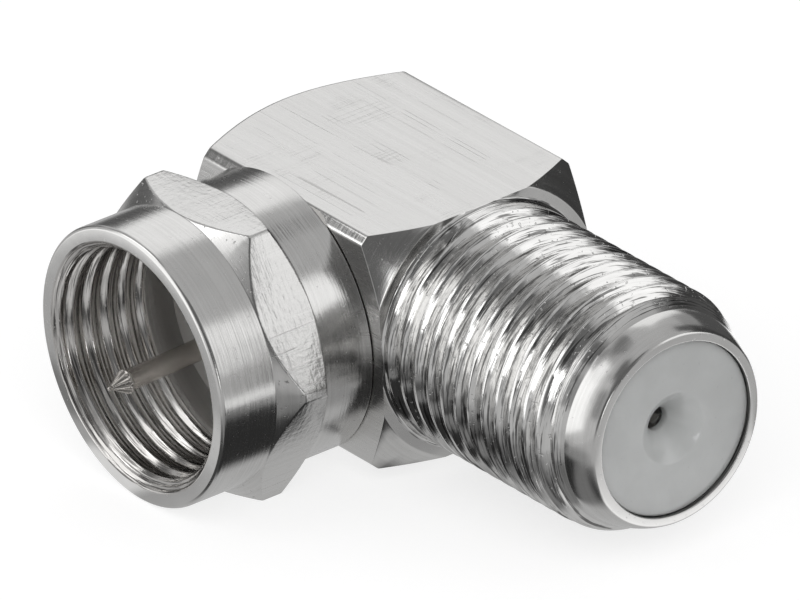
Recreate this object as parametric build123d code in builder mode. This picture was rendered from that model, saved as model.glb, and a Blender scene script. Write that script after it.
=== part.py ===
"""Right-angle coax adapter: a plug with a captive nut on the side of a square bar, a jack on its end.

Millimetres. The two axes cross above the origin, which lies on the bar's underside.
The jack points along +X, the plug along -Y, and +Z is up.
"""
import math
import os

from build123d import *

# Square bar
bar_size = 9.525
bar_edge = 0.3
bar_back_length = 5.95
bar_front_length = 5.88
back_face_radius = 4.3
back_chamfer_angle = 35
front_ring_width = 0.5
front_chamfer_angle = 35

# Jack barrel, in one piece with the bar
thread_radius = 4.72
jack_length = 11.1
thread_lead_length = 0.99
thread_lead_drop = 0.56
nose_length = 1.23
nose_drop = 0.43
nose_bulge = 0.045
jack_wall = 0.33
jack_bore_depth = 10.4

# Bores inside the bar
cavity_radius = 2.6
plug_seat_radius = 3.4
plug_seat_depth = 1.5

# Captive nut
nut_gap = 0.03
nut_length = 6.85
nut_wall = 0.64
mouth_clearance = 0.04
mouth_edge = 0.14
thread_height = 0.35
relief_depth = 0.15
relief_length = 1.4
lip_thickness = 1.01
nut_rear_length = 2.14
nut_rear_edge = 0.04
hex_step = 0.02
hex_corner_break = 0.1
hex_edge_length = 0.99
hex_rear_angle = 35
hex_front_angle = 45

# Spigot that carries the nut
neck_radius = 3.12
neck_running_clearance = 0.08
flange_gap = 0.15
flange_width = 0.83
flange_thickness = 0.9
flange_edge = 0.1
spigot_wall = 0.8
spigot_shelf = 0.16
spigot_lip = 0.35
spigot_lip_thickness = 0.5

# Centre pin
pin_radius = 0.41
pin_protrusion = 1.12
pin_tail_recess = 0.15
pin_droop = 2.2
collar_radius = 0.62
collar_width = 0.9
head_radius = 0.47
head_length = 0.8
head_back_taper = 0.12
tip_radius = 0.05

# Jack insulator
insulator_recess = 0.18
funnel_depth = 0.95
funnel_radius = 1.4
wire_hole_radius = 0.45
wire_hole_length = 0.3
insulator_rear_gap = 2.4

# Jack contact
contact_radius = 0.95
contact_bore_radius = 0.6
contact_mouth_gap = 0.15
finger_length = 6.2
finger_tip_length = 0.7
finger_pinch_radius = 0.32
finger_wall = 0.28
finger_flare = 0.14
finger_slot = 0.28
contact_tail_length = 2.2

# Insulator and plug at the back
rear_insulator_gap = 1.4
tail_end_gap = 0.05
plug_thickness = 1.35
plug_edge = 0.2

# Room around every piece that is pushed into a bore
seat_clearance = 0.02

# Places worked out from the sizes
axis_height = bar_size / 2
nut_side = bar_size / 2
rim_at = bar_front_length + jack_length
nose_at = rim_at - nose_length
thread_end = nose_at - thread_lead_length
nose_radius = thread_radius - thread_lead_drop
rim_radius = nose_radius - nose_drop
jack_bore_radius = rim_radius - jack_wall
jack_shoulder = rim_at - jack_bore_depth
plug_seat = -bar_back_length + plug_seat_depth

mouth_radius = thread_radius + mouth_clearance
nut_radius = mouth_radius + nut_wall
nut_bore_radius = thread_radius - thread_height
nut_relief_radius = thread_radius + relief_depth
nut_lip_radius = neck_radius + neck_running_clearance
nut_rear = nut_side + nut_gap
nut_mouth = nut_rear + nut_length
lip_front = nut_rear + lip_thickness
hex_apothem = nut_radius + hex_step
hex_corner_radius = hex_apothem / math.cos(math.radians(30)) - hex_corner_break
hex_rear = nut_rear + nut_rear_length
hex_edge_rear = hex_rear + (hex_corner_radius - nut_radius) * math.tan(math.radians(hex_rear_angle))
hex_edge_front = hex_edge_rear + hex_edge_length
hex_front = hex_edge_front + (hex_corner_radius - nut_radius) * math.tan(math.radians(hex_front_angle))

spigot_rear = cavity_radius + spigot_shelf
flange_rear = lip_front + flange_gap
contact_face = flange_rear + flange_thickness
flange_radius = neck_radius + flange_width
spigot_bore_radius = neck_radius - spigot_wall

pin_reach = nut_mouth + pin_protrusion
pin_tail = contact_radius - pin_tail_recess
collar_rear = contact_face - collar_width
head_base = pin_reach - head_length

insulator_face = rim_at - insulator_recess
funnel_bottom = insulator_face - funnel_depth
contact_chamber_end = funnel_bottom - wire_hole_length
contact_mouth = contact_chamber_end - contact_mouth_gap
finger_root = contact_mouth - finger_length

# The two axes and the half planes in which round pieces are drawn (along the axis, away from it)
centre = (0, 0, axis_height)
jack_axis = Axis(centre, (1, 0, 0))
jack_section = Plane(origin=centre, x_dir=(1, 0, 0), z_dir=(0, -1, 0))
jack_cross = Plane(origin=centre, x_dir=(0, 1, 0), z_dir=(1, 0, 0))
nut_axis = Axis(centre, (0, -1, 0))
nut_section = Plane(origin=centre, x_dir=(0, -1, 0), z_dir=(-1, 0, 0))
nut_cross = Plane(origin=centre, x_dir=(1, 0, 0), z_dir=(0, -1, 0))

# The pin leans a little below the nut's axis, so it has an axis of its own
droop = math.radians(pin_droop)
pin_direction = (0, -math.cos(droop), -math.sin(droop))
pin_axis = Axis(centre, pin_direction)
pin_section = Plane(origin=centre, x_dir=pin_direction, z_dir=(-1, 0, 0))


def chamfered_end(face_at, face_radius, outer_radius, angle, outward):
    """The outer and inner corner of a turned chamfer that ends in a flat face."""
    run = (outer_radius - face_radius) * math.tan(math.radians(angle))
    return (face_at - outward * run, outer_radius), (face_at, face_radius)


os.makedirs("parts", exist_ok=True)

# Body: a square bar with both ends turned, the jack barrel, and the bores for what it holds
with BuildPart() as body:
    with BuildSketch(jack_cross.offset(-bar_back_length)) as bar_sketch:
        Rectangle(bar_size, bar_size)
        chamfer(bar_sketch.vertices(), bar_edge)
    extrude(amount=bar_back_length + bar_front_length)

    # Both ends are turned to cones that run out on the four flats in curved edges
    corner_radius = bar_size / math.sqrt(2)
    front_face_radius = thread_radius + front_ring_width
    back_outer, back_inner = chamfered_end(
        -bar_back_length, back_face_radius, corner_radius, back_chamfer_angle, -1
    )
    front_outer, front_inner = chamfered_end(
        bar_front_length, front_face_radius, corner_radius, front_chamfer_angle, 1
    )
    with BuildSketch(jack_section):
        with BuildLine():
            Polyline(
                (-bar_back_length, 0),
                back_inner,
                back_outer,
                front_outer,
                front_inner,
                (bar_front_length, 0),
                close=True,
            )
        make_face()
    revolve(axis=jack_axis, mode=Mode.INTERSECT)

    # Barrel: thread cylinder, lead-in cone, then the rounded nose down to the rim
    barrel_root = bar_front_length - bar_edge
    with BuildSketch(jack_section):
        with BuildLine():
            Polyline(
                (barrel_root, 0),
                (barrel_root, thread_radius),
                (thread_end, thread_radius),
                (nose_at, nose_radius),
            )
            SagittaArc((nose_at, nose_radius), (rim_at, rim_radius), nose_bulge)
            Polyline((rim_at, rim_radius), (rim_at, 0), (barrel_root, 0))
        make_face()
    revolve(axis=jack_axis)

    # Bores along the jack's axis, from the back plug's seat to the rim
    with BuildSketch(jack_section):
        with BuildLine():
            Polyline(
                (-bar_back_length, 0),
                (-bar_back_length, plug_seat_radius),
                (plug_seat, plug_seat_radius),
                (plug_seat, cavity_radius),
                (jack_shoulder, cavity_radius),
                (jack_shoulder, jack_bore_radius),
                (rim_at, jack_bore_radius),
                (rim_at, 0),
                close=True,
            )
        make_face()
    revolve(axis=jack_axis, mode=Mode.SUBTRACT)

    # Side bore: the spigot's seat, and the passage for the pin
    with BuildSketch(nut_cross.offset(spigot_rear)):
        Circle(neck_radius)
    extrude(amount=nut_side - spigot_rear, mode=Mode.SUBTRACT)
    with BuildSketch(nut_cross):
        Circle(spigot_bore_radius)
    extrude(amount=nut_side, mode=Mode.SUBTRACT)
body.part.label = "body"
export_step(body.part, "parts/body.step")

# Coupling nut: hexagon with turned chamfers, smooth collar and barrel, bored from the mouth
with BuildPart() as coupling_nut:
    with BuildSketch(nut_cross.offset(hex_rear)):
        RegularPolygon(hex_apothem, 6, major_radius=False)
    extrude(amount=hex_front - hex_rear)
    with BuildSketch(nut_section):
        with BuildLine():
            Polyline(
                (hex_rear, 0),
                (hex_rear, nut_radius),
                (hex_edge_rear, hex_corner_radius),
                (hex_edge_front, hex_corner_radius),
                (hex_front, nut_radius),
                (hex_front, 0),
                close=True,
            )
        make_face()
    revolve(axis=nut_axis, mode=Mode.INTERSECT)
    with BuildSketch(nut_section):
        with BuildLine():
            Polyline(
                (nut_rear, 0),
                (nut_rear, nut_radius - nut_rear_edge),
                (nut_rear + nut_rear_edge, nut_radius),
                (nut_mouth - mouth_edge, nut_radius),
                (nut_mouth, nut_radius - mouth_edge),
                (nut_mouth, 0),
                close=True,
            )
        make_face()
    revolve(axis=nut_axis)
    with BuildSketch(nut_section):
        with BuildLine():
            Polyline(
                (nut_rear, 0),
                (nut_rear, nut_lip_radius),
                (lip_front, nut_lip_radius),
                (lip_front, nut_relief_radius),
                (lip_front + relief_length, nut_relief_radius),
                (lip_front + relief_length + relief_depth + thread_height, nut_bore_radius),
                (nut_mouth - mouth_clearance - thread_height, nut_bore_radius),
                (nut_mouth, mouth_radius),
                (nut_mouth, 0),
                close=True,
            )
        make_face()
    revolve(axis=nut_axis, mode=Mode.SUBTRACT)
coupling_nut.part.label = "coupling_nut"
export_step(coupling_nut.part, "parts/coupling_nut.step")

# Spigot: pressed into the body; the flange in front keeps the nut on
with BuildPart() as spigot:
    with BuildSketch(nut_section):
        with BuildLine():
            Polyline(
                (spigot_rear, spigot_bore_radius),
                (spigot_rear, neck_radius),
                (flange_rear, neck_radius),
                (flange_rear, flange_radius),
                (contact_face - flange_edge, flange_radius),
                (contact_face, flange_radius - flange_edge),
                (contact_face, spigot_bore_radius - spigot_lip),
                (contact_face - spigot_lip_thickness, spigot_bore_radius - spigot_lip),
                (contact_face - spigot_lip_thickness, spigot_bore_radius),
                close=True,
            )
        make_face()
    revolve(axis=nut_axis)
spigot.part.label = "spigot"
export_step(spigot.part, "parts/spigot.step")

# Pin insulator: a stepped bush in the spigot, bored along the pin's own line, wider for its collar
with BuildPart() as pin_insulator:
    bush_radius = spigot_bore_radius - seat_clearance
    with BuildSketch(nut_section):
        with BuildLine():
            Polyline(
                (spigot_rear, 0),
                (spigot_rear, bush_radius),
                (contact_face - spigot_lip_thickness - seat_clearance, bush_radius),
                (contact_face - spigot_lip_thickness - seat_clearance, bush_radius - spigot_lip),
                (contact_face, bush_radius - spigot_lip),
                (contact_face, 0),
                close=True,
            )
        make_face()
    revolve(axis=nut_axis)
    with BuildSketch(pin_section):
        with BuildLine():
            Polyline(
                (0, 0),
                (0, pin_radius + seat_clearance),
                (collar_rear - seat_clearance, pin_radius + seat_clearance),
                (collar_rear - seat_clearance, collar_radius + seat_clearance),
                (pin_reach, collar_radius + seat_clearance),
                (pin_reach, 0),
                close=True,
            )
        make_face()
    revolve(axis=pin_axis, mode=Mode.SUBTRACT)
pin_insulator.part.label = "pin_insulator"
export_step(pin_insulator.part, "parts/pin_insulator.step")

# Centre pin: a straight wire with a collar in its insulator and an arrow head wider than the wire
with BuildPart() as centre_pin:
    with BuildSketch(pin_section):
        with BuildLine():
            Polyline(
                (-pin_tail, 0),
                (-pin_tail, pin_radius),
                (collar_rear, pin_radius),
                (collar_rear, collar_radius),
                (contact_face, collar_radius),
                (contact_face, pin_radius),
                (head_base - head_back_taper, pin_radius),
                (head_base, head_radius),
                (pin_reach - tip_radius, tip_radius),
                (pin_reach, 0),
                close=True,
            )
        make_face()
    revolve(axis=pin_axis)
centre_pin.part.label = "centre_pin"
export_step(centre_pin.part, "parts/centre_pin.step")

# Jack contact: a solid stem with four spring fingers in front and a cross hole for the pin's tail
with BuildPart() as jack_contact:
    pinch_at = contact_mouth - finger_tip_length
    pinch_outer_radius = finger_pinch_radius + finger_wall
    with BuildSketch(jack_section):
        with BuildLine():
            Polyline(
                (-contact_tail_length, 0),
                (-contact_tail_length, contact_radius),
                (finger_root, contact_radius),
                (pinch_at, pinch_outer_radius),
                (contact_mouth, pinch_outer_radius + finger_flare),
                (contact_mouth, finger_pinch_radius + finger_flare),
                (pinch_at, finger_pinch_radius),
                (finger_root, contact_bore_radius),
                (finger_root, 0),
                close=True,
            )
        make_face()
    revolve(axis=jack_axis)
    # Two crossed saw cuts part the four fingers
    with BuildSketch(jack_cross.offset(finger_root)):
        Rectangle(2 * contact_radius, finger_slot)
        Rectangle(finger_slot, 2 * contact_radius)
    extrude(amount=finger_length, mode=Mode.SUBTRACT)
    # The pin's tail goes right through the stem, along its own leaning line
    drill_reach = 2 * contact_radius
    with BuildSketch(pin_section):
        with BuildLine():
            Polyline(
                (-drill_reach, 0),
                (-drill_reach, pin_radius + seat_clearance),
                (drill_reach, pin_radius + seat_clearance),
                (drill_reach, 0),
                close=True,
            )
        make_face()
    revolve(axis=pin_axis, mode=Mode.SUBTRACT)
jack_contact.part.label = "jack_contact"
export_step(jack_contact.part, "parts/jack_contact.step")

# Jack insulator: fills the barrel, with a neck into the bar and the guide funnel in its face
with BuildPart() as jack_insulator:
    core_radius = jack_bore_radius - seat_clearance
    neck_outer_radius = cavity_radius - seat_clearance
    chamber_radius = contact_radius + seat_clearance
    with BuildSketch(jack_section):
        with BuildLine():
            Polyline(
                (insulator_rear_gap, chamber_radius),
                (insulator_rear_gap, neck_outer_radius),
                (jack_shoulder + seat_clearance, neck_outer_radius),
                (jack_shoulder + seat_clearance, core_radius),
                (insulator_face, core_radius),
                (insulator_face, funnel_radius),
                (funnel_bottom, wire_hole_radius),
                (contact_chamber_end, wire_hole_radius),
                (contact_chamber_end, chamber_radius),
                close=True,
            )
        make_face()
    revolve(axis=jack_axis)
jack_insulator.part.label = "jack_insulator"
export_step(jack_insulator.part, "parts/jack_insulator.step")

# Rear insulator: a block between the plug and the elbow, with a pocket for the contact's tail
with BuildPart() as rear_insulator:
    block_front = -rear_insulator_gap
    pocket_end = -(contact_tail_length + tail_end_gap)
    with BuildSketch(jack_section):
        with BuildLine():
            Polyline(
                (plug_seat, 0),
                (plug_seat, cavity_radius - seat_clearance),
                (block_front, cavity_radius - seat_clearance),
                (block_front, contact_radius + seat_clearance),
                (pocket_end, contact_radius + seat_clearance),
                (pocket_end, 0),
                close=True,
            )
        make_face()
    revolve(axis=jack_axis)
rear_insulator.part.label = "rear_insulator"
export_step(rear_insulator.part, "parts/rear_insulator.step")

# Rear plug: a disc pressed into the back of the bar, its outer edge broken
with BuildPart() as rear_plug:
    with BuildSketch(jack_cross.offset(plug_seat)):
        Circle(plug_seat_radius - seat_clearance)
    extrude(amount=-plug_thickness)
    chamfer(rear_plug.edges().sort_by(Axis.X)[0], plug_edge)
rear_plug.part.label = "rear_plug"
export_step(rear_plug.part, "parts/rear_plug.step")
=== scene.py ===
"""Coax adapter: fine metalwork, finishes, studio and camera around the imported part.

Lengths are in millimetres until a mesh is made. The jack lies along +X, the plug along -Y, +Z is up.
"""
import math

import bmesh
import bpy
import numpy as np
from mathutils import Matrix, Vector


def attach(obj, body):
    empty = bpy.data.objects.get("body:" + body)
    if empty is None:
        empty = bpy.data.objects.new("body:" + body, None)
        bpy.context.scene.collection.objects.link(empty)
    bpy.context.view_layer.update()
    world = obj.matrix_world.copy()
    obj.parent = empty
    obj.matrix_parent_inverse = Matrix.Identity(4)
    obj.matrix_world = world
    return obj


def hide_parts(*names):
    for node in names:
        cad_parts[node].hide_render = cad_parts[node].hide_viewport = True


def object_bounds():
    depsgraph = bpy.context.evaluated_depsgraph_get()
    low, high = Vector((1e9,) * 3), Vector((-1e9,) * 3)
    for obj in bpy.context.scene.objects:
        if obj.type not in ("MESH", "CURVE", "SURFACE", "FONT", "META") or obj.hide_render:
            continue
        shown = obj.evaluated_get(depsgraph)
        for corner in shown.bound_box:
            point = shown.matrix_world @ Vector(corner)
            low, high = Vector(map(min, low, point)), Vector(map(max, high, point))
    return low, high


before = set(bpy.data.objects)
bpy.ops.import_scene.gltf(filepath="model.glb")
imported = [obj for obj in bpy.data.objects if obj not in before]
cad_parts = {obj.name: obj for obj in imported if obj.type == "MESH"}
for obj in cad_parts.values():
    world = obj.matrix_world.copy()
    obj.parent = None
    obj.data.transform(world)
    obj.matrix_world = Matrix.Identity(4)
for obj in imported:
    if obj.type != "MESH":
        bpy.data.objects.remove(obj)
cad_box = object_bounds()

MM = 0.001
FULL_TURN = 2 * math.pi

# Body: square bar with broken edges and turned ends, threaded barrel, rounded nose and bores along the jack
HALF_BAR = 4.7625
AXIS_HEIGHT = HALF_BAR
EDGE_BREAK = 0.3
BACK, FRONT = -5.95, 5.88
BACK_FACE_RADIUS, FRONT_FACE_RADIUS = 4.3, 5.22
END_SLOPE = math.tan(math.radians(35))
BACK_ROUNDING, FRONT_ROUNDING = 0.09, 0.03
THREAD_RADIUS = 4.72
ROOT_FILLET = 0.15
THREAD_END, NOSE_AT, RIM_AT = 14.76, 15.75, 16.98
NOSE_RADIUS, NOSE_BULGE, RIM_RADIUS = 4.16, 0.07, 3.73
JACK_BORE, JACK_SHOULDER, CAVITY_RADIUS = 3.40, 6.58, 2.6
DISC_SEAT, DISC_SEAT_RADIUS = -4.45, 3.4

# Side bores of the body along the plug: radius, near end and far end
SPIGOT_SEAT = (3.12, 2.76, 6.0)
PIN_PASSAGE = (2.32, 0.0, 4.0)

# Outer thread: crest, flank, depth and corner rounding. Crest and flank are shares of the pitch
PITCH = 25.4 / 32
OUTER_THREAD = (0.16, 0.30, 0.43, 0.035)
OUTER_THREAD_AT = 8.07
# Depth under the crest past which the thread's roots get painted shade, a dark copy of the thread finish
ROOT_SHADE_DEPTH = 0.395
FIRST_GROOVE = -3
GROOVE_START, GROOVE_RUN_IN = math.radians(101), math.radians(16)

# Coupling nut: captive hexagon nut with turned chamfers and a smooth barrel
NUT_REAR, NUT_MOUTH, NUT_RADIUS = 4.7925, 11.6425, 5.40
HEX_REAR, HEX_FRONT = 6.9325, 9.212
HEX_APOTHEM, HEX_CORNER, HEX_CORNER_ANGLE = 5.42, 6.158, 1.65
HEX_WEAR = 0.1
MOUTH_RADIUS, MOUTH_EDGE = 4.82, 0.13
LIP_RADIUS, LIP_AT = 3.20, 5.8025

# Nut's bore from the relief at the rear to the lead-in cone at the mouth, with the marks of the tool
RELIEF_RADIUS, NUT_BORE = 4.87, 4.37
BORE_REAR, LEAD_AT, BORE_FRONT = 7.2025, 11.18, 11.6225
TOOL_MARK_HEIGHT, TOOL_MARK_PITCH = 0.018, 0.15

# Radii that tell the outside of the bar and the inside of the nut from their other faces
BAR_OUTSIDE, NUT_INSIDE = 4.5, 4.99

# Inner thread: half of the crest, front flank and rear flank as shares of the pitch, then the depth
INNER_THREAD = (0.12, 0.27, 0.25, 0.21)
INNER_THREAD_AT = 10.49
INNER_THREAD_STEPS = 26

# Centre pin: a wire with a collar and a fluted arrow head, leaning a little below the nut's axis
PIN_TAIL, PIN_REACH, WIRE_RADIUS = -0.8, 12.7625, 0.41
COLLAR_REAR, COLLAR_FRONT, COLLAR_RADIUS = 5.9525, 6.8525, 0.62
HEAD_AT, HEAD_RADIUS, TIP_RADIUS = 11.9625, 0.47, 0.09
FLUTES, FLUTE_DEPTH = 14, 0.13
PIN_DROOP = math.radians(2.2)

# Jack insulator: core of the jack with its guide funnel, wire hole and chamber for the contact
CORE_REAR, CORE_SHOULDER, CORE_FACE = 2.4, 6.60, 16.80
CORE_RADIUS, CORE_FACE_RADIUS = 2.58, 3.38
FUNNEL_RADIUS, FUNNEL_DEPTH, FUNNEL_BEND = 1.4, 0.95, (0.30, 0.95)
WIRE_HOLE_RADIUS, CHAMBER_RADIUS, CHAMBER_AT = 0.45, 0.97, 15.55


# Shapes

def columns(corners=(), count=288):
    """Angles round an axis in radians: evenly spaced, and closer together at each corner."""
    even = np.arange(count) * 360.0 / count
    near = [c + d for c in corners for d in (-1.1, -0.6, -0.3, -0.1, 0.1, 0.3, 0.6, 1.1)]
    return np.radians(np.unique(np.round(np.mod(np.concatenate([even, near]), 360.0), 3)))


def smooth_min(a, b, width):
    """The smaller of two lengths, rounded over where they cross."""
    h = np.clip(0.5 + 0.5 * (b - a) / width, 0, 1)
    return b * (1 - h) + a * h - width * h * (1 - h)


def polygon_radius(turns, apothem, sides, first_flat, width):
    """How far a regular polygon's outline lies from its centre, at each angle."""
    far = 1e3
    radius = np.full(turns.shape, far)
    for k in range(sides):
        facing = np.cos(turns - math.radians(first_flat + 360.0 * k / sides))
        flat = np.where(facing > 0.05, apothem / np.maximum(facing, 0.05), far)
        radius = smooth_min(radius, flat, width)
    return radius


def profile(turns, points, steps=3):
    """Rows of (along, radius) for each column. A point is (along, radius, rounding)."""
    n = len(turns)
    at = [np.stack([np.broadcast_to(p[0], n), np.broadcast_to(p[1], n)], 1).astype(float) for p in points]
    rows = [at[0]]
    for k in range(1, len(at) - 1):
        rounding = points[k][2] if len(points[k]) > 2 else 0
        if not rounding:
            rows.append(at[k])
            continue
        back, ahead = at[k - 1] - at[k], at[k + 1] - at[k]
        back_length = np.maximum(np.linalg.norm(back, axis=1), 1e-9)[:, None]
        ahead_length = np.maximum(np.linalg.norm(ahead, axis=1), 1e-9)[:, None]
        first = at[k] + back / back_length * np.minimum(rounding, 0.45 * back_length)
        last = at[k] + ahead / ahead_length * np.minimum(rounding, 0.45 * ahead_length)
        for t in np.linspace(0, 1, steps + 1):
            rows.append((1 - t) ** 2 * first + 2 * t * (1 - t) * at[k] + t ** 2 * last)
    rows.append(at[-1])
    return rows


def ring_faces(row_count, n, offset=0, shift=0):
    """Quads between neighbouring rows. At the seam a row meets the one shift rows further on."""
    faces = []
    for i in range(row_count - 1):
        for j in range(n):
            if j < n - 1:
                quad = (i * n + j, i * n + j + 1, (i + 1) * n + j + 1, (i + 1) * n + j)
            elif i + 1 + shift < row_count:
                quad = (i * n + j, (i + shift) * n, (i + 1 + shift) * n, (i + 1) * n + j)
            else:
                continue
            faces.append(tuple(v + offset for v in quad))
    return faces


def thread_places(crest, flank):
    """Places along one pitch of a thread, closer together where its section bends."""
    top = [0, crest * 0.5, crest, crest + 0.04]
    down = [crest + flank * 0.35, crest + flank * 0.7, crest + flank - 0.03]
    root = [crest + flank + 0.04, 0.5 + crest / 2, 1 - flank - 0.04]
    up = [1 - flank + 0.03, 1 - flank * 0.7, 1 - flank * 0.35, 1 - 0.04]
    return np.array(top + down + root + up)


def depth_at(place, crest, flank, depth, blend):
    """Depth of the thread groove at a place in its pitch, with rounded corners."""
    place = np.mod(place, 1.0)
    from_crest = np.minimum(np.maximum(place - crest, 0), np.maximum(1 - place, 0))
    cut = smooth_min(from_crest * depth / flank, np.full_like(place, depth), blend)
    return np.where(place <= crest, 0, np.maximum(cut, 0))


def helix_rows(turns, start, end, radius_at, places):
    """Rows that follow a right-handed thread between two places along its axis."""
    pitches = int(math.ceil((end - start) / PITCH)) + 2
    rows = []
    for k in range(pitches + 1):
        for place in places:
            along = start + (k - 2 + place) * PITCH + PITCH * turns / FULL_TURN
            along = np.clip(along, start, end)
            rows.append(np.stack([along, radius_at(along, turns)], 1))
    return rows


def build(name, axis, turns, parts):
    """A closed mesh from grids of (along, radius) rows round the jack's or the plug's axis."""
    vertices, faces = [], []
    n = len(turns)
    for rows, shift in parts:
        grid = np.array(rows)
        along, radius = grid[..., 0], grid[..., 1]
        across, height = radius * np.cos(turns), radius * np.sin(turns) + AXIS_HEIGHT
        if axis == "jack":
            xyz = np.stack([along, across, height], -1)
        else:
            xyz = np.stack([across, -along, height], -1)
        faces += ring_faces(len(rows), n, len(vertices), shift)
        vertices += (xyz.reshape(-1, 3) * MM).tolist()
    return make_object(name, vertices, faces)


def make_object(name, vertices, faces):
    """An object with doubled points joined, its faces turned outward and its sharp edges marked."""
    mesh = bpy.data.meshes.new(name)
    mesh.from_pydata(vertices, [], faces)
    bm = bmesh.new()
    bm.from_mesh(mesh)
    bmesh.ops.remove_doubles(bm, verts=bm.verts, dist=1.5e-6)
    bmesh.ops.dissolve_degenerate(bm, edges=bm.edges, dist=1e-7)
    bmesh.ops.recalc_face_normals(bm, faces=bm.faces)
    bm.to_mesh(mesh)
    bm.free()
    shade(mesh)
    thing = bpy.data.objects.new(name, mesh)
    bpy.context.scene.collection.objects.link(thing)
    return thing


def shade(mesh):
    """Smooth shading that breaks at sharp edges."""
    mesh.shade_smooth()
    mesh.set_sharp_from_angle(angle=math.radians(38))


def even_normals(thing):
    """Flat faces keep their own shading next to small rounded edges."""
    modifier = thing.modifiers.new("even_normals", "WEIGHTED_NORMAL")
    modifier.keep_sharp = True
    modifier.weight = 80


def jack_outline(along):
    """Radius of the barrel before the thread is cut: cylinder and lead-in cone."""
    slope = (THREAD_RADIUS - NOSE_RADIUS) / (NOSE_AT - THREAD_END)
    cone = THREAD_RADIUS - (along - THREAD_END) * slope
    return smooth_min(np.full_like(along, THREAD_RADIUS), cone, 0.06)


def jack_thread(along, turns):
    """Radius of the threaded barrel. The first groove starts part of the way round."""
    place = (along - OUTER_THREAD_AT) / PITCH - turns / FULL_TURN + OUTER_THREAD[0] / 2
    groove = np.floor(place)
    started = np.clip((turns - GROOVE_START) / GROOVE_RUN_IN, 0, 1)
    started = np.where(groove > FIRST_GROOVE, 1, np.where(groove < FIRST_GROOVE, 0, started))
    started = started * np.clip((along - FRONT - ROOT_FILLET) / 0.05, 0, 1)
    cut = THREAD_RADIUS - depth_at(place, *OUTER_THREAD) * started
    outline = jack_outline(along)
    radius = np.where(started > 0, smooth_min(cut, outline, 0.03), outline)
    fade = np.clip((NOSE_AT - 0.1 - along) / 0.1, 0, 1)
    return radius * fade + outline * (1 - fade)


def bar_radius(turns):
    """The square bar's outline with its broken edges."""
    square = polygon_radius(turns, HALF_BAR, 4, 0, 0.03)
    broken = polygon_radius(turns, (2 * HALF_BAR - EDGE_BREAK) / math.sqrt(2), 4, 45, 0.03)
    return smooth_min(square, broken, 0.045)


def root_fillet(ring):
    """The small round between the bar's front face and the barrel, kept inside the face's ring."""
    points = []
    for k in range(7):
        a = math.radians(15 * k)
        radius = THREAD_RADIUS + ROOT_FILLET * (1 - math.sin(a))
        points.append((FRONT + ROOT_FILLET * (1 - math.cos(a)), np.minimum(radius, ring)))
    return points


def build_body():
    """Bar and jack barrel in one piece: nose, bore, back end, flats, front end and thread."""
    corner = math.degrees(math.atan((HALF_BAR - EDGE_BREAK) / HALF_BAR))
    turns = columns([90 * k + s * corner for k in range(4) for s in (-1, 1)])
    bar = bar_radius(turns)
    cone_back = BACK + (bar - BACK_FACE_RADIUS) * END_SLOPE
    cone_front = np.minimum(FRONT, FRONT - (bar - FRONT_FACE_RADIUS) * END_SLOPE)
    ring = np.minimum(bar, FRONT_FACE_RADIUS)
    fillet = root_fillet(ring)
    shell = profile(turns, [
        (NOSE_AT, NOSE_RADIUS),
        (NOSE_AT + 0.015, NOSE_RADIUS - 0.002),
        (NOSE_AT + 0.25, NOSE_RADIUS - 0.035),
        ((NOSE_AT + RIM_AT) / 2, (NOSE_RADIUS + RIM_RADIUS) / 2 + NOSE_BULGE, 0.5),
        (RIM_AT - 0.3, RIM_RADIUS + 0.16, 0.1),
        (RIM_AT - 0.02, RIM_RADIUS + 0.01, 0.1),
        (RIM_AT, JACK_BORE, 0.04),
        (JACK_SHOULDER, JACK_BORE),
        (JACK_SHOULDER, CAVITY_RADIUS),
        (DISC_SEAT, CAVITY_RADIUS),
        (DISC_SEAT, DISC_SEAT_RADIUS),
        (BACK, DISC_SEAT_RADIUS, 0.05),
        (BACK, BACK_FACE_RADIUS, 0.05),
        (cone_back, bar, BACK_ROUNDING),
        (cone_front, bar, FRONT_ROUNDING),
        (FRONT, ring, 0.05),
    ] + fillet)
    places = thread_places(*OUTER_THREAD[:2])
    thread = helix_rows(turns, FRONT + ROOT_FILLET, NOSE_AT, jack_thread, places)
    return build("adapter_body", "jack", turns, [(shell, 0), (thread, len(places))])


def cut_bore(target, radius, near, far):
    """Cuts a bore of the body's side between two places along the plug."""
    turns = columns(count=96)
    rows = profile(turns, [(near, 0), (near, radius), (far, radius), (far, 0)])
    tool = build("bore_tool", "plug", turns, [(rows, 0)])
    modifier = target.modifiers.new("bore", "BOOLEAN")
    modifier.operation = "DIFFERENCE"
    modifier.solver = "EXACT"
    modifier.object = tool
    depsgraph = bpy.context.evaluated_depsgraph_get()
    mesh = bpy.data.meshes.new_from_object(target.evaluated_get(depsgraph))
    target.modifiers.clear()
    target.data = mesh
    bpy.data.objects.remove(tool)


def nut_bore(along):
    """Radius of the nut's bore before the thread is cut."""
    rear = RELIEF_RADIUS - np.clip(along - BORE_REAR, 0, 0.5)
    lead = np.clip((along - LEAD_AT) / (BORE_FRONT - LEAD_AT), 0, 1)
    wave = np.sin(FULL_TURN * (along - LEAD_AT) / TOOL_MARK_PITCH)
    marks = TOOL_MARK_HEIGHT * wave * np.clip(lead * 6, 0, 1)
    front = NUT_BORE + (MOUTH_RADIUS - 0.02 - NUT_BORE) * lead + marks
    return np.maximum(rear, front)


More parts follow.
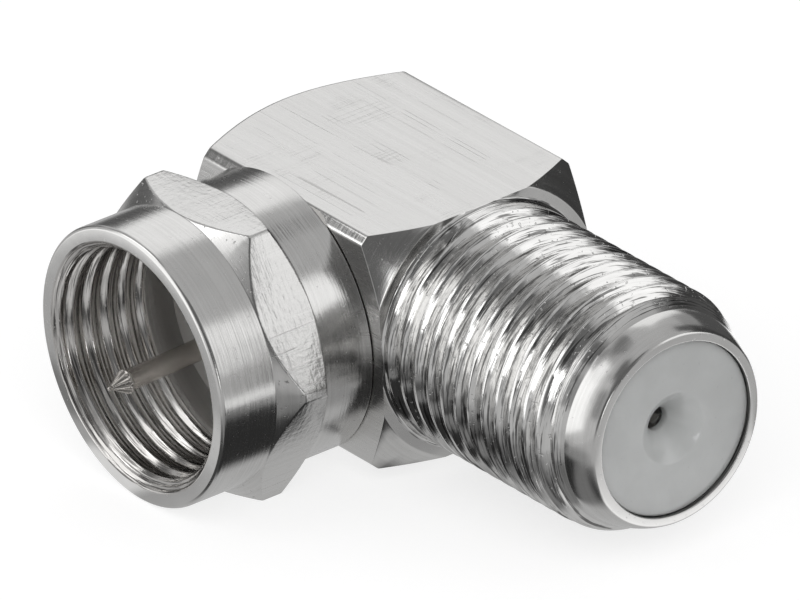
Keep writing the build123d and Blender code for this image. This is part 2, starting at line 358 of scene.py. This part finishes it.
def nut_thread(along, turns):
    """Radius of the threaded bore."""
    place = np.mod((along - INNER_THREAD_AT) / PITCH - turns / FULL_TURN, 1.0)
    crest, front_flank, rear_flank, depth = INNER_THREAD
    rise = np.minimum((place - crest) / front_flank, (1 - place - crest) / rear_flank)
    rise = smooth_min(-smooth_min(-rise, np.zeros_like(rise), 0.35), np.ones_like(rise), 0.35)
    radius = -smooth_min(-NUT_BORE - depth * rise, -nut_bore(along), 0.03)
    ends = np.minimum(np.clip((along - BORE_REAR) / 0.1, 0, 1), np.clip((BORE_FRONT - along) / 0.01, 0, 1))
    return np.where(along > LEAD_AT - 0.18, radius, radius * ends + nut_bore(along) * (1 - ends))


def build_nut():
    """Captive nut: mouth, smooth barrel, hexagon between two chamfers, rear lip, relief and thread."""
    turns = columns([60 * k + s * HEX_CORNER_ANGLE for k in range(6) for s in (-1, 1)])
    hexagon = polygon_radius(turns, HEX_APOTHEM, 6, 30, 0.03)
    hexagon = smooth_min(hexagon, HEX_CORNER + HEX_WEAR * np.sin(turns) ** 2, 0.03)
    rise = np.maximum(hexagon - NUT_RADIUS, 0)
    shell = profile(turns, [
        (BORE_FRONT, nut_thread(np.full_like(turns, BORE_FRONT - 0.01), turns)),
        (NUT_MOUTH, MOUTH_RADIUS, 0.02),
        (NUT_MOUTH - 0.005, NUT_RADIUS - MOUTH_EDGE, 0.03),
        (NUT_MOUTH - 0.05, NUT_RADIUS - 0.04, 0.03),
        (NUT_MOUTH - MOUTH_EDGE, NUT_RADIUS, 0.04),
        (HEX_FRONT, NUT_RADIUS, 0.02),
        (HEX_FRONT - rise, hexagon, 0.07),
        (HEX_REAR + rise * END_SLOPE, hexagon, 0.07),
        (HEX_REAR, NUT_RADIUS, 0.02),
        (NUT_REAR + 0.04, NUT_RADIUS, 0.02),
        (NUT_REAR, NUT_RADIUS - 0.04, 0.02),
        (NUT_REAR, LIP_RADIUS),
        (LIP_AT, LIP_RADIUS),
        (LIP_AT, RELIEF_RADIUS),
        (BORE_REAR, RELIEF_RADIUS),
    ])
    places = np.arange(0, 1, 1 / INNER_THREAD_STEPS)
    thread = helix_rows(turns, BORE_REAR, BORE_FRONT, nut_thread, places)
    return build("adapter_nut", "plug", turns, [(shell, 0), (thread, len(places))])


def build_pin():
    """Plug's centre conductor: tail, collar, shaft and fluted arrow head."""
    turns = columns(count=96)
    rows = profile(turns, [
        (PIN_TAIL, 0),
        (PIN_TAIL, WIRE_RADIUS, 0.03),
        (COLLAR_REAR, WIRE_RADIUS),
        (COLLAR_REAR, COLLAR_RADIUS, 0.02),
        (COLLAR_FRONT, COLLAR_RADIUS, 0.02),
        (COLLAR_FRONT, WIRE_RADIUS),
        (HEAD_AT - 0.12, WIRE_RADIUS, 0.01),
        (HEAD_AT - 0.03, HEAD_RADIUS, 0.02),
        (HEAD_AT + 0.05, HEAD_RADIUS - 0.01, 0.02),
        (PIN_REACH - 0.17, TIP_RADIUS, 0.02),
        (PIN_REACH - 0.12, TIP_RADIUS + 0.005, 0.03),
        (PIN_REACH - 0.02, TIP_RADIUS - 0.02, 0.03),
        (PIN_REACH, 0),
    ])
    fluted = []
    for row in rows:
        along, radius = row[:, 0], row[:, 1]
        on_head = np.clip((along - HEAD_AT + 0.02) / 0.05, 0, 1)
        on_head = on_head * np.clip((PIN_REACH - 0.15 - along) / 0.1, 0, 1)
        radius = radius * (1 - FLUTE_DEPTH * on_head * np.abs(np.cos(FLUTES / 2 * turns)))
        fluted.append(np.stack([along, radius], 1))
    pin = build("adapter_pin", "plug", turns, [(fluted, 0)])
    centre = Vector((0, 0, AXIS_HEIGHT * MM))
    lean = Matrix.Translation(centre) @ Matrix.Rotation(PIN_DROOP, 4, "X") @ Matrix.Translation(-centre)
    pin.data.transform(lean)
    return pin


def build_insulator():
    """Jack's plastic core, with the funnel that guides a wire into its hole."""
    turns = columns(count=192)
    bend_depth, bend_radius = FUNNEL_BEND
    rows = profile(turns, [
        (CORE_REAR, CHAMBER_RADIUS),
        (CORE_REAR, CORE_RADIUS),
        (CORE_SHOULDER, CORE_RADIUS),
        (CORE_SHOULDER, CORE_FACE_RADIUS),
        (CORE_FACE, CORE_FACE_RADIUS, 0.06),
        (CORE_FACE, FUNNEL_RADIUS, 0.06),
        (CORE_FACE - bend_depth, bend_radius, 0.25),
        (CORE_FACE - FUNNEL_DEPTH, WIRE_HOLE_RADIUS, 0.05),
        (CHAMBER_AT, WIRE_HOLE_RADIUS),
        (CHAMBER_AT, CHAMBER_RADIUS),
        (CORE_REAR, CHAMBER_RADIUS),
    ])
    return build("adapter_insulator", "jack", turns, [(rows, 0)])


body = build_body()
nut = build_nut()
cut_bore(body, *SPIGOT_SEAT)
cut_bore(body, *PIN_PASSAGE)
shade(body.data)
pin = build_pin()
insulator = build_insulator()
for thing in (body, nut):
    even_normals(thing)

for thing, node, carrier, finish in (
    (body, "body", "elbow", "bar_nickel"),
    (nut, "coupling_nut", "nut", "nut_nickel"),
    (pin, "centre_pin", "elbow", "pin_metal"),
    (insulator, "jack_insulator", "elbow", "milky_plastic"),
):
    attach(thing, carrier)
    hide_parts(node)


# Finishes

class Nodes:
    """Short names for the nodes of one material."""

    def __init__(self, name):
        self.material = bpy.data.materials.new(name)
        self.material.use_nodes = True
        self.tree = self.material.node_tree
        self.shader = self.tree.nodes["Principled BSDF"]
        self.place = self.tree.nodes.new("ShaderNodeTexCoord").outputs["Object"]

    def link(self, source, target):
        if isinstance(source, (int, float)):
            target.default_value = source
        else:
            self.tree.links.new(source, target)

    def math(self, operation, a, b=0.0, c=0.0):
        node = self.tree.nodes.new("ShaderNodeMath")
        node.operation = operation
        for value, socket in zip((a, b, c), node.inputs):
            self.link(value, socket)
        return node.outputs[0]

    def noise(self, per_mm, detail=3.0, rough=0.5, turn=(0, 0, 0), move=(0, 0, 0)):
        """Noise with so many features a millimetre along X, Y and Z."""
        mapping = self.tree.nodes.new("ShaderNodeMapping")
        mapping.inputs["Rotation"].default_value = [math.radians(t) for t in turn]
        mapping.inputs["Scale"].default_value = [p / MM for p in per_mm]
        mapping.inputs["Location"].default_value = move
        self.tree.links.new(self.place, mapping.inputs["Vector"])
        node = self.tree.nodes.new("ShaderNodeTexNoise")
        node.inputs["Scale"].default_value = 1.0
        node.inputs["Detail"].default_value = detail
        node.inputs["Roughness"].default_value = rough
        self.tree.links.new(mapping.outputs[0], node.inputs["Vector"])
        return node.outputs["Fac"]

    def between(self, value, low, high, to_low=0.0, to_high=1.0):
        """A smooth step between two values."""
        node = self.tree.nodes.new("ShaderNodeMapRange")
        node.interpolation_type = "SMOOTHSTEP"
        self.link(value, node.inputs["Value"])
        for key, number in (("From Min", low), ("From Max", high), ("To Min", to_low), ("To Max", to_high)):
            node.inputs[key].default_value = number
        return node.outputs["Result"]

    def lines(self, per_mm, width, turn):
        """Thin lines where a drawn-out noise crosses its middle value."""
        value = self.noise(per_mm, 1.0, 0.4, turn)
        off = self.math("ABSOLUTE", self.math("SUBTRACT", value, 0.5))
        return self.between(off, 0.0, width, 1.0, 0.0)

    def colours(self, value, dark, light):
        """A colour between two others, each a tuple or a socket."""
        node = self.tree.nodes.new("ShaderNodeMix")
        node.data_type = "RGBA"
        self.link(value, node.inputs["Factor"])
        for key, colour in (("A", dark), ("B", light)):
            if isinstance(colour, tuple):
                node.inputs[key].default_value = (*colour, 1)
            else:
                self.tree.links.new(colour, node.inputs[key])
        return node.outputs["Result"]

    def bump(self, height, size, normal=None):
        """A bump of so many millimetres over another normal."""
        node = self.tree.nodes.new("ShaderNodeBump")
        node.inputs["Strength"].default_value = 1.0
        node.inputs["Distance"].default_value = size * MM
        self.link(height, node.inputs["Height"])
        if normal is not None:
            self.tree.links.new(normal, node.inputs["Normal"])
        return node.outputs["Normal"]


def drawn_out(along, rate_across, rate_along):
    """Features a millimetre along X, Y and Z for a pattern that has its own rate along one axis."""
    rates = [rate_across] * 3
    rates[along] = rate_along
    return rates


def shaded(colour, share):
    """A darker shade of a colour."""
    return tuple(share * c for c in colour)


def finish_metal(m, tint, roughness, normal):
    """The material of these nodes as bare metal."""
    m.link(tint, m.shader.inputs["Base Color"])
    m.shader.inputs["Metallic"].default_value = 1.0
    m.link(roughness, m.shader.inputs["Roughness"])
    m.link(normal, m.shader.inputs["Normal"])
    return m.material


def drawn_nickel(name, along, weave=0.0):
    """Flats of drawn bar: fine lines along one axis, some long scratches and a few cross marks."""
    m = Nodes(name)
    fine = m.noise(drawn_out(along, 14, 0.18), 4.0, 0.6)
    broad = m.noise(drawn_out(along, 3.2, 0.05), 3.0, 0.6)
    scratches = m.lines(drawn_out(along, 1.1, 0.012), 0.005, (0, 0, 1.0))
    scratched = m.between(m.noise((0.35, 0.35, 0.35), 2.0), 0.5, 0.62)
    scratches = m.math("MULTIPLY", scratches, scratched)
    cross = m.lines(drawn_out(along, 0.02, 7.0), 0.03, (0, 0, 4.0))
    crossed = m.between(m.noise((0.5, 0.5, 0.5), 2.0, move=(3, 1, 2)), 0.5, 0.7)
    cross = m.math("MULTIPLY", cross, crossed)
    tone = m.math("ADD", m.math("MULTIPLY", fine, 0.5), m.math("MULTIPLY", broad, 0.5))
    tone = m.math("SUBTRACT", tone, m.math("MULTIPLY", scratches, 0.25))
    tint = m.colours(m.between(tone, 0.1, 0.75), (0.66, 0.655, 0.645), (0.76, 0.755, 0.745))
    roughness = m.math("MULTIPLY_ADD", fine, 0.16, 0.17)
    roughness = m.math("MULTIPLY_ADD", scratches, 0.2, roughness)
    normal = m.bump(fine, 0.004)
    normal = m.bump(broad, 0.006, normal)
    normal = m.bump(m.math("MULTIPLY", scratches, -1.0), 0.003, normal)
    normal = m.bump(m.math("MULTIPLY", cross, -1.0), 0.002, normal)
    if weave:
        warp = m.noise(drawn_out(along, 1.2, 6.0), 2.0, move=(1, 4, 2))
        dots = m.noise((5.0, 5.0, 5.0), 2.0)
        normal = m.bump(m.math("ADD", warp, dots), weave, normal)
    return finish_metal(m, tint, roughness, normal)


def turned_nickel(name, along, ring=10.0, roughness=0.14, depth=0.004, waves=0.01, pits=0.0, streaks=0.0,
                  dark=(0.64, 0.635, 0.625), light=(0.76, 0.755, 0.745)):
    """Turned faces: fine rings round one axis, a little waviness, small pits and coarser streaks.

    Ring is how many rings there are in a millimetre. Depth, waves, pits and streaks are heights.
    """
    m = Nodes(name)
    rings = m.noise(drawn_out(along, 0.12, ring), 4.0, 0.65)
    soft = m.noise((0.9, 0.9, 0.9), 2.0)
    speck = m.between(m.noise((6, 6, 6), 2.0), 0.66, 0.74)
    tone = m.math("ADD", m.math("MULTIPLY", rings, 0.7), m.math("MULTIPLY", soft, 0.3))
    tint = m.colours(m.between(tone, 0.25, 0.75), dark, light)
    rough = m.math("MULTIPLY_ADD", rings, 0.12, roughness - 0.06)
    rough = m.math("MULTIPLY_ADD", speck, 0.15, rough)
    normal = m.bump(rings, depth)
    normal = m.bump(soft, waves, normal)
    if pits:
        normal = m.bump(m.math("MULTIPLY", speck, -1.0), pits, normal)
    if streaks:
        streak = m.noise(drawn_out(along, 0.5, 20.0), 3.0, 0.6, move=(5, 2, 7))
        normal = m.bump(streak, streaks, normal)
        tint = m.colours(m.between(streak, 0.38, 0.48), shaded(dark, 0.3), tint)
    return finish_metal(m, tint, rough, normal)


def drawn_wire(name, tint):
    """Wire drawn along Y: hair lines along its length and faint clouding."""
    m = Nodes(name)
    hair = m.noise((11, 0.25, 11), 3.0, 0.6)
    cloud = m.noise((1.2, 0.6, 1.2), 2.0)
    colour = m.colours(m.between(cloud, 0.3, 0.7), shaded(tint, 0.9), tint)
    rough = m.math("MULTIPLY_ADD", hair, 0.08, 0.22)
    return finish_metal(m, colour, rough, m.bump(hair, 0.0003))


def plastic(name, colour, subsurface, roughness, gloss=0.0):
    """Moulded insulating plastic with slight clouding and some surface gloss."""
    m = Nodes(name)
    cloud = m.noise((0.7, 0.7, 0.7), 3.0)
    grain = m.noise((9, 9, 9), 2.0)
    clouded = m.colours(m.between(cloud, 0.3, 0.7), shaded(colour, 0.93), colour)
    m.link(clouded, m.shader.inputs["Base Color"])
    for key, value in (
        ("Subsurface Weight", subsurface),
        ("Subsurface Radius", (1.0, 1.0, 1.0)),
        ("Subsurface Scale", 0.6 * MM),
        ("Coat Weight", gloss),
        ("Coat Roughness", 0.12),
        ("Coat IOR", 2.0),
    ):
        m.shader.inputs[key].default_value = value
    m.link(m.math("MULTIPLY_ADD", grain, 0.12, roughness - 0.06), m.shader.inputs["Roughness"])
    m.link(m.bump(grain, 0.004), m.shader.inputs["Normal"])
    return m.material


def face_data(mesh):
    """Centres in millimetres and normals of a mesh's faces."""
    count = len(mesh.polygons)
    centre, normal = np.zeros(count * 3), np.zeros(count * 3)
    mesh.polygons.foreach_get("center", centre)
    mesh.polygons.foreach_get("normal", normal)
    return centre.reshape(-1, 3) / MM, normal.reshape(-1, 3)


def dress(mesh, materials, choice=None):
    """Gives a mesh its materials, and each face its choice of them."""
    mesh.materials.clear()
    for material in materials:
        mesh.materials.append(material)
    if choice is not None:
        mesh.polygons.foreach_set("material_index", np.asarray(choice, dtype=np.int32))
        mesh.update()


def dress_body():
    """Drawn flats, turned ends, thread with painted shade in its roots, smooth nose and rim."""
    materials = (
        drawn_nickel("nickel_bar_flats", 0),
        turned_nickel("nickel_bar_turned", 0, ring=9.0, roughness=0.16),
        turned_nickel("nickel_thread", 0, ring=14.0, roughness=0.07, depth=0.003, waves=0.016, pits=0.006,
                      streaks=0.008, dark=(0.72, 0.715, 0.705), light=(0.88, 0.875, 0.865)),
        turned_nickel("nickel_nose", 0, ring=12.0, roughness=0.17, depth=0.0006, waves=0.012),
        turned_nickel("nickel_rim", 0, ring=12.0, roughness=0.16, depth=0.002, pits=0.008),
        # Painted shade: a dark copy of the thread finish, so that the thread's roots look dark
        turned_nickel("nickel_thread_painted_root_shade", 0, ring=14.0, roughness=0.2, waves=0.02, streaks=0.01,
                      dark=(0.20, 0.195, 0.19), light=(0.34, 0.335, 0.33)),
    )
    flats, cones, thread, nose, rim, root_shade = range(len(materials))
    centre, normal = face_data(body.data)
    along = centre[:, 0]
    radius = np.hypot(centre[:, 1], centre[:, 2] - AXIS_HEIGHT)
    on_flat = (np.abs(normal[:, 0]) < 0.2) & (along < FRONT) & (radius > BAR_OUTSIDE)
    on_flat = on_flat & (np.abs(normal[:, 1] * normal[:, 2]) < 0.2)
    choice = np.where(on_flat, flats, cones)
    choice = np.where(along > FRONT + 1e-4, thread, choice)
    choice = np.where(along > NOSE_AT - 0.15, nose, choice)
    choice = np.where((along > RIM_AT - 0.04) & (radius < RIM_RADIUS), rim, choice)
    # Painted shade: faces deep in the thread's roots take the dark copy of the finish
    in_root_shade = (choice == thread) & (radius < THREAD_RADIUS - ROOT_SHADE_DEPTH) & (along < THREAD_END)
    dress(body.data, materials, np.where(in_root_shade, root_shade, choice))


def dress_nut(pale):
    """Drawn flats, turned barrel and chamfers, threaded inside, and painted light on the shaded relief
    behind the thread: a pale, rough finish.
    """
    materials = (
        drawn_nickel("nickel_nut_flats", 1, weave=0.012),
        turned_nickel("nickel_nut_turned", 1, ring=11.0, roughness=0.17, depth=0.006, waves=0.008),
        turned_nickel("nickel_nut_inside", 1, ring=9.0, roughness=0.13, depth=0.0025, waves=0.012,
                      pits=0.002, streaks=0.006, dark=(0.60, 0.585, 0.565), light=(0.72, 0.705, 0.69)),
        pale,
        turned_nickel("nickel_nut_cones", 1, ring=9.0, roughness=0.2, depth=0.006, waves=0.012, pits=0.02),
    )
    flats, turned, inside, painted_light_relief, cones = range(len(materials))
    centre, normal = face_data(nut.data)
    along = -centre[:, 1]
    radius = np.hypot(centre[:, 0], centre[:, 2] - AXIS_HEIGHT)
    steep = np.abs(normal[:, 1])
    in_bore = radius < NUT_INSIDE
    choice = np.where((radius > NUT_RADIUS + 0.01) & (steep < 0.2), flats, turned)
    choice = np.where(in_bore, inside, choice)
    # Painted light: the shaded relief behind the thread takes the pale finish
    choice = np.where(in_bore & (along < BORE_REAR + 0.5), painted_light_relief, choice)
    choice = np.where((radius > HEX_APOTHEM) & (steep > 0.2), cones, choice)
    dress(nut.data, materials, choice)


# Painted light: a pale, rough nickel for the deep, shaded inside of the nut and for the spigot, lighter than
# the other nickel so these hollows don't go dark
painted_light_nickel = turned_nickel("nickel_inner_painted_light", 1, ring=8.0, roughness=0.45, depth=0.001, waves=0.006,
                            dark=(0.86, 0.845, 0.825), light=(0.93, 0.92, 0.905))
dress_body()
dress_nut(painted_light_nickel)
dress(pin.data, [drawn_wire("pin_metal", (0.62, 0.59, 0.555))])
dress(insulator.data, [plastic("milky_core", (0.63, 0.64, 0.635), 0.8, 0.30, gloss=0.4)])
white = plastic("white_core", (0.75, 0.75, 0.73), 0.2, 0.45)
# Contact seen through the wire hole: a light colour of its own, made paler still as painted light, so that
# the deep hole is not dark
contact = turned_nickel("contact_bronze", 0, ring=8.0, roughness=0.5, depth=0.002, waves=0.004,
                        dark=(0.86, 0.85, 0.82), light=(0.94, 0.93, 0.90))
for name, material in (
    # The spigot, deep inside the nut, takes the pale finish as painted light
    ("spigot", painted_light_nickel),
    ("rear_plug", turned_nickel("nickel_plug", 0, ring=8.0, roughness=0.2)),
    ("pin_insulator", white),
    ("rear_insulator", white),
    ("jack_contact", contact),
):
    dress(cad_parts[name].data, [material])


# Studio: a tent and a sheet of panels that the metal mirrors, the sheet with painted shadow near the object,
# a softbox, a plain floor and a white world
FLOOR_AT = cad_box[0].z / MM
LAMP_POWER = 1.1
LAMP_TOWARD = Vector((0.62, -0.42, 0.66)).normalized()
LAMP_SIZE, LAMP_DISTANCE = 420, 450
TENT_LEVEL = 0.50
TENT_RADIUS, TENT_LIFT = 400.0, 5.0
PANEL_STEP = 1.5
CARDS_REACH, CARDS_FADE, CARDS_LIFT = 18, 10, 0.02
FLOOR_REACH, FLOOR_GREY, FLOOR_ROUGHNESS, FLOOR_GLOW = 3000, 0.42, 0.9, 0.72

# Panels of the tent: azimuth, elevation, half width, half height and soft edge in degrees, brightness.
# Azimuth runs from +X towards +Y. A later panel lies over the ones before it.
PANELS = (
    (-150, 74, 40, 8, 8, 0.20),
    (-60, 62, 18, 12, 8, 0.15),
    (-26, 32, 38, 34, 8, 0.14),
    (15, 36, 14, 6, 6, 0.5),
    (-14.5, 5, 4.5, 7, 2, 2.6),
    (-80, 20, 14, 30, 5, 0.6),
    (-78, 26, 10, 14, 4, 0.30),
    (-118, 18, 24, 27, 4, 1.33),
    (-108, 52, 12, 10, 4, 1.2),
    (-142, 60, 9, 9, 5, 0.3),
    (-156, 36, 13, 11, 4, 0.16),
    (-178, 8, 14, 12, 6, 0.12),
    (84, 8, 26, 28, 6, 0.055),
    (114, 3, 13, 17, 5, 0.09),
    (114, 28, 9, 8, 5, 0.34),
    (40, 19, 15, 17, 5, 1.15),
    (95, 42, 9, 8, 4, 0.10),
    (139, 41, 18, 20, 6, 1.04),
    (148, -2, 9, 19, 5, 0.10),
    (123, -16, 7, 5, 3, 1.0),
)
# Low cards just above the floor, seen only in reflections: x from, x to, y from, y to, soft edge,
# brightness. The darkest cards, on the near side of the jack and the nut, are painted shadow: they stand in
# for the object's shadow on the floor as the metal mirrors it
CARDS = (
    (8, 20, -24, -12, 3, 0.25),
    (7, 13, -4.0, -0.5, 1.2, 0.33),
    (13, 25, -12, -4.4, 2, 0.06),
    (5.3, 7.6, -13, -5.3, 0.8, 0.03),
    (7.2, 14.2, -13, -4.2, 0.6, 0.03),
    (13.6, 15.8, -13, -4.4, 1.0, 0.2),
    (15, 24, 8, 20, 3, 0.33),
    (1, 6, 13, 30, 1.5, 1.3),
    (17.3, 27, -5, 9, 1.5, 1.2),
    (-24, 1, -26, -10, 3, 0.42),
    (-11, -6.5, -16, -13, 1.5, 0.2),
    (-4.5, -0.5, -13.5, -11, 1, 0.85),
    (-3.5, 1.5, -18, -15, 1.5, 0.66),
    (-17, -12.5, -26, -22.5, 2, 0.68),
    (2.2, 8.5, -22, -12.5, 1.0, 0.06),
    (4.0, 5.3, -4.5, -2.5, 0.6, 0.08),
    (11, 18, -24, -16, 1.5, 0.12),
)
# Strip above the nut's mouth that shines into its thread: two ends, half width, way across, brightness
STRIP_FROM, STRIP_TO = np.array([-20, -24, 20]), np.array([-3.5, -20, 30.5])
STRIP_HALF_WIDTH, STRIP_ACROSS = 3.2, np.array([0.386, -0.88, -0.273])
STRIP_LEVEL = 2.0


def laid_over(light, inside_x, inside_y, level):
    """Light with a panel over it. Inside is a share from 0 to 1 in each direction."""
    mask = np.clip(inside_x, 0, 1) * np.clip(inside_y, 0, 1)
    mask = mask * mask * (3 - 2 * mask)
    return light * (1 - mask) + level * mask


def panel_light(azimuth, elevation):
    """Brightness of the tent in each direction."""
    light = np.full(azimuth.shape, TENT_LEVEL)
    for at, up, wide, high, soft, level in PANELS:
        aside = np.abs(np.mod(azimuth - at + 180, 360) - 180)
        over = np.abs(elevation - up)
        light = laid_over(light, (wide - aside) / soft + 0.5, (high - over) / soft + 0.5, level)
    return light


def card_light(x, y):
    """Brightness of the sheet at each place near the object."""
    light = np.full(x.shape, TENT_LEVEL)
    for x_from, x_to, y_from, y_to, soft, level in CARDS:
        in_x = np.clip((x - x_from) / soft + 0.5, 0, 1) * np.clip((x_to - x) / soft + 0.5, 0, 1)
        in_y = np.clip((y - y_from) / soft + 0.5, 0, 1) * np.clip((y_to - y) / soft + 0.5, 0, 1)
        light = laid_over(light, in_x, in_y, level)
    return light


def glowing(name, vertices, faces, light):
    """A stage surface that shines with its own brightness at each point, unseen by the camera."""
    mesh = bpy.data.meshes.new(name)
    mesh.from_pydata((np.array(vertices) * MM).tolist(), [], faces)
    attribute = mesh.attributes.new("light", "FLOAT", "POINT")
    attribute.data.foreach_set("value", np.asarray(light, dtype=np.float32))
    thing = bpy.data.objects.new(name, mesh)
    bpy.context.scene.collection.objects.link(thing)
    material = bpy.data.materials.new(name)
    material.use_nodes = True
    tree = material.node_tree
    tree.nodes.clear()
    glow = tree.nodes.new("ShaderNodeEmission")
    out = tree.nodes.new("ShaderNodeOutputMaterial")
    reader = tree.nodes.new("ShaderNodeAttribute")
    reader.attribute_name = "light"
    tree.links.new(reader.outputs["Fac"], glow.inputs["Strength"])
    tree.links.new(glow.outputs[0], out.inputs["Surface"])
    mesh.materials.append(material)
    thing.visible_camera = False
    thing.visible_shadow = False
    return thing


def round_grid(row_count, n):
    """Quads of a closed grid with n columns round it."""
    return [
        (i * n + j, i * n + (j + 1) % n, (i + 1) * n + (j + 1) % n, (i + 1) * n + j)
        for i in range(row_count - 1)
        for j in range(n)
    ]


def build_tent():
    """A dome of panels round the object, from a little below the horizon to straight above."""
    azimuths = np.arange(0, 360, PANEL_STEP)
    elevations = np.arange(-9, 90, PANEL_STEP)
    vertices, directions = [], []
    for elevation in elevations:
        e = math.radians(elevation)
        across, height = TENT_RADIUS * math.cos(e), TENT_RADIUS * math.sin(e) + TENT_LIFT
        for azimuth in azimuths:
            a = math.radians(azimuth)
            vertices.append((across * math.cos(a), across * math.sin(a), height))
            directions.append((azimuth, elevation))
    n = len(azimuths)
    top, last = len(vertices), len(vertices) - n
    vertices.append((0, 0, TENT_RADIUS + TENT_LIFT))
    directions.append((0, 90))
    faces = round_grid(len(elevations), n) + [(last + j, last + (j + 1) % n, top) for j in range(n)]
    glowing("tent", vertices, faces, panel_light(*np.array(directions, dtype=float).T))


def build_sheet():
    """Cards that lie just above the floor: near ones by place, far ones by direction. The dark near cards
    are painted shadow in the metal's reflection of the floor.
    """
    azimuths = np.radians(np.arange(0, 360, PANEL_STEP))
    reaches = np.concatenate([[0.01], np.arange(0.5, 40, 0.5), np.geomspace(40, 1.05 * TENT_RADIUS, 40)])
    across, turn = np.meshgrid(reaches, azimuths, indexing="ij")
    x, y = across * np.cos(turn), across * np.sin(turn)
    far = panel_light(np.degrees(turn), -np.degrees(np.arctan2(TENT_LIFT, across)))
    blend = np.clip((across - CARDS_REACH) / CARDS_FADE, 0, 1)
    light = card_light(x, y) * (1 - blend) + far * blend
    vertices = np.stack([x, y, np.full(x.shape, FLOOR_AT + CARDS_LIFT)], -1).reshape(-1, 3)
    sheet = glowing("sheet", vertices, round_grid(len(reaches), len(azimuths)), light.reshape(-1))
    sheet.visible_diffuse = False


def build_strip():
    """A narrow card above the nut's mouth that shines into its thread."""
    aside = STRIP_HALF_WIDTH * STRIP_ACROSS
    corners = [STRIP_FROM - aside, STRIP_TO - aside, STRIP_TO + aside, STRIP_FROM + aside]
    strip = glowing("strip", corners, [(0, 1, 2, 3)], [STRIP_LEVEL] * 4)
    strip.visible_diffuse = False


def build_lamp():
    """A wide overhead softbox that lights matt surfaces and isn't mirrored in the metal."""
    data = bpy.data.lights.new("softbox", "AREA")
    data.shape = "DISK"
    data.size = LAMP_SIZE * MM
    data.energy = LAMP_POWER
    lamp = bpy.data.objects.new("softbox", data)
    bpy.context.scene.collection.objects.link(lamp)
    lamp.location = LAMP_TOWARD * LAMP_DISTANCE * MM
    lamp.rotation_euler = LAMP_TOWARD.to_track_quat("Z", "Y").to_euler()
    lamp.visible_glossy = False
    lamp.visible_camera = False


def build_floor():
    """A pale floor that looks white to the camera and in the metal, and keeps the object's shadow."""
    mesh = bpy.data.meshes.new("floor")
    reach, z = FLOOR_REACH * MM, FLOOR_AT * MM
    corners = [(-reach, -reach, z), (reach, -reach, z), (reach, reach, z), (-reach, reach, z)]
    mesh.from_pydata(corners, [], [(0, 1, 2, 3)])
    floor = bpy.data.objects.new("floor", mesh)
    bpy.context.scene.collection.objects.link(floor)
    material = bpy.data.materials.new("floor")
    material.use_nodes = True
    tree = material.node_tree
    shader = tree.nodes["Principled BSDF"]
    shader.inputs["Base Color"].default_value = (FLOOR_GREY, FLOOR_GREY, FLOOR_GREY, 1)
    shader.inputs["Roughness"].default_value = FLOOR_ROUGHNESS
    shader.inputs["Specular IOR Level"].default_value = 0.0
    path = tree.nodes.new("ShaderNodeLightPath")
    seen = path.outputs["Is Camera Ray"]
    for ray in ("Is Glossy Ray", "Is Transmission Ray"):
        either = tree.nodes.new("ShaderNodeMath")
        either.operation = "MAXIMUM"
        tree.links.new(seen, either.inputs[0])
        tree.links.new(path.outputs[ray], either.inputs[1])
        seen = either.outputs[0]
    level = tree.nodes.new("ShaderNodeMath")
    level.operation = "MULTIPLY"
    level.inputs[1].default_value = FLOOR_GLOW
    tree.links.new(seen, level.inputs[0])
    shader.inputs["Emission Color"].default_value = (1, 1, 1, 1)
    tree.links.new(level.outputs[0], shader.inputs["Emission Strength"])
    mesh.materials.append(material)


build_tent()
build_sheet()
build_strip()
build_lamp()
build_floor()

world = bpy.data.worlds.new("studio")
bpy.context.scene.world = world
world.use_nodes = True
background = world.node_tree.nodes["Background"]
background.inputs["Color"].default_value = (1, 1, 1, 1)
background.inputs["Strength"].default_value = 1.0


# Camera: far away with a narrow view. The jack's and the plug's axes cross at the centre, in pixels
PICTURE_SIZE = (800, 600)
CAMERA_AZIMUTH, CAMERA_ELEVATION = math.radians(53.386), math.radians(27.835)
CAMERA_ROLL = math.radians(-2.668)
FOCAL_PX, PX_PER_MM = 24000.0, 27.519
CENTRE_PX = (386.273, 266.273)


def build_camera():
    """The photo's camera, placed from its angles, its scale and the pixel of the centre."""
    a, e, roll = CAMERA_AZIMUTH, CAMERA_ELEVATION, CAMERA_ROLL
    back = Vector((math.sin(a) * math.cos(e), -math.cos(a) * math.cos(e), math.sin(e)))
    right = Vector((math.cos(a), math.sin(a), 0))
    up = back.cross(right)
    c, s = math.cos(roll), math.sin(roll)
    cam_x = right * c + up * s
    cam_y = up * c - right * s
    distance = FOCAL_PX / PX_PER_MM
    u = (CENTRE_PX[0] - PICTURE_SIZE[0] / 2) / PX_PER_MM
    v = (CENTRE_PX[1] - PICTURE_SIZE[1] / 2) / PX_PER_MM
    location = back * distance - cam_x * u + cam_y * v + Vector((0, 0, AXIS_HEIGHT))
    data = bpy.data.cameras.new("camera")
    data.sensor_width = 36.0
    data.lens = FOCAL_PX / PICTURE_SIZE[0] * data.sensor_width
    data.clip_start, data.clip_end = 0.1, 10.0
    camera = bpy.data.objects.new("camera", data)
    bpy.context.scene.collection.objects.link(camera)
    turn = Matrix((cam_x, cam_y, back)).transposed().to_4x4()
    camera.matrix_world = Matrix.Translation(location * MM) @ turn
    bpy.context.scene.camera = camera


build_camera()
bpy.context.scene.view_settings.view_transform = "Standard"
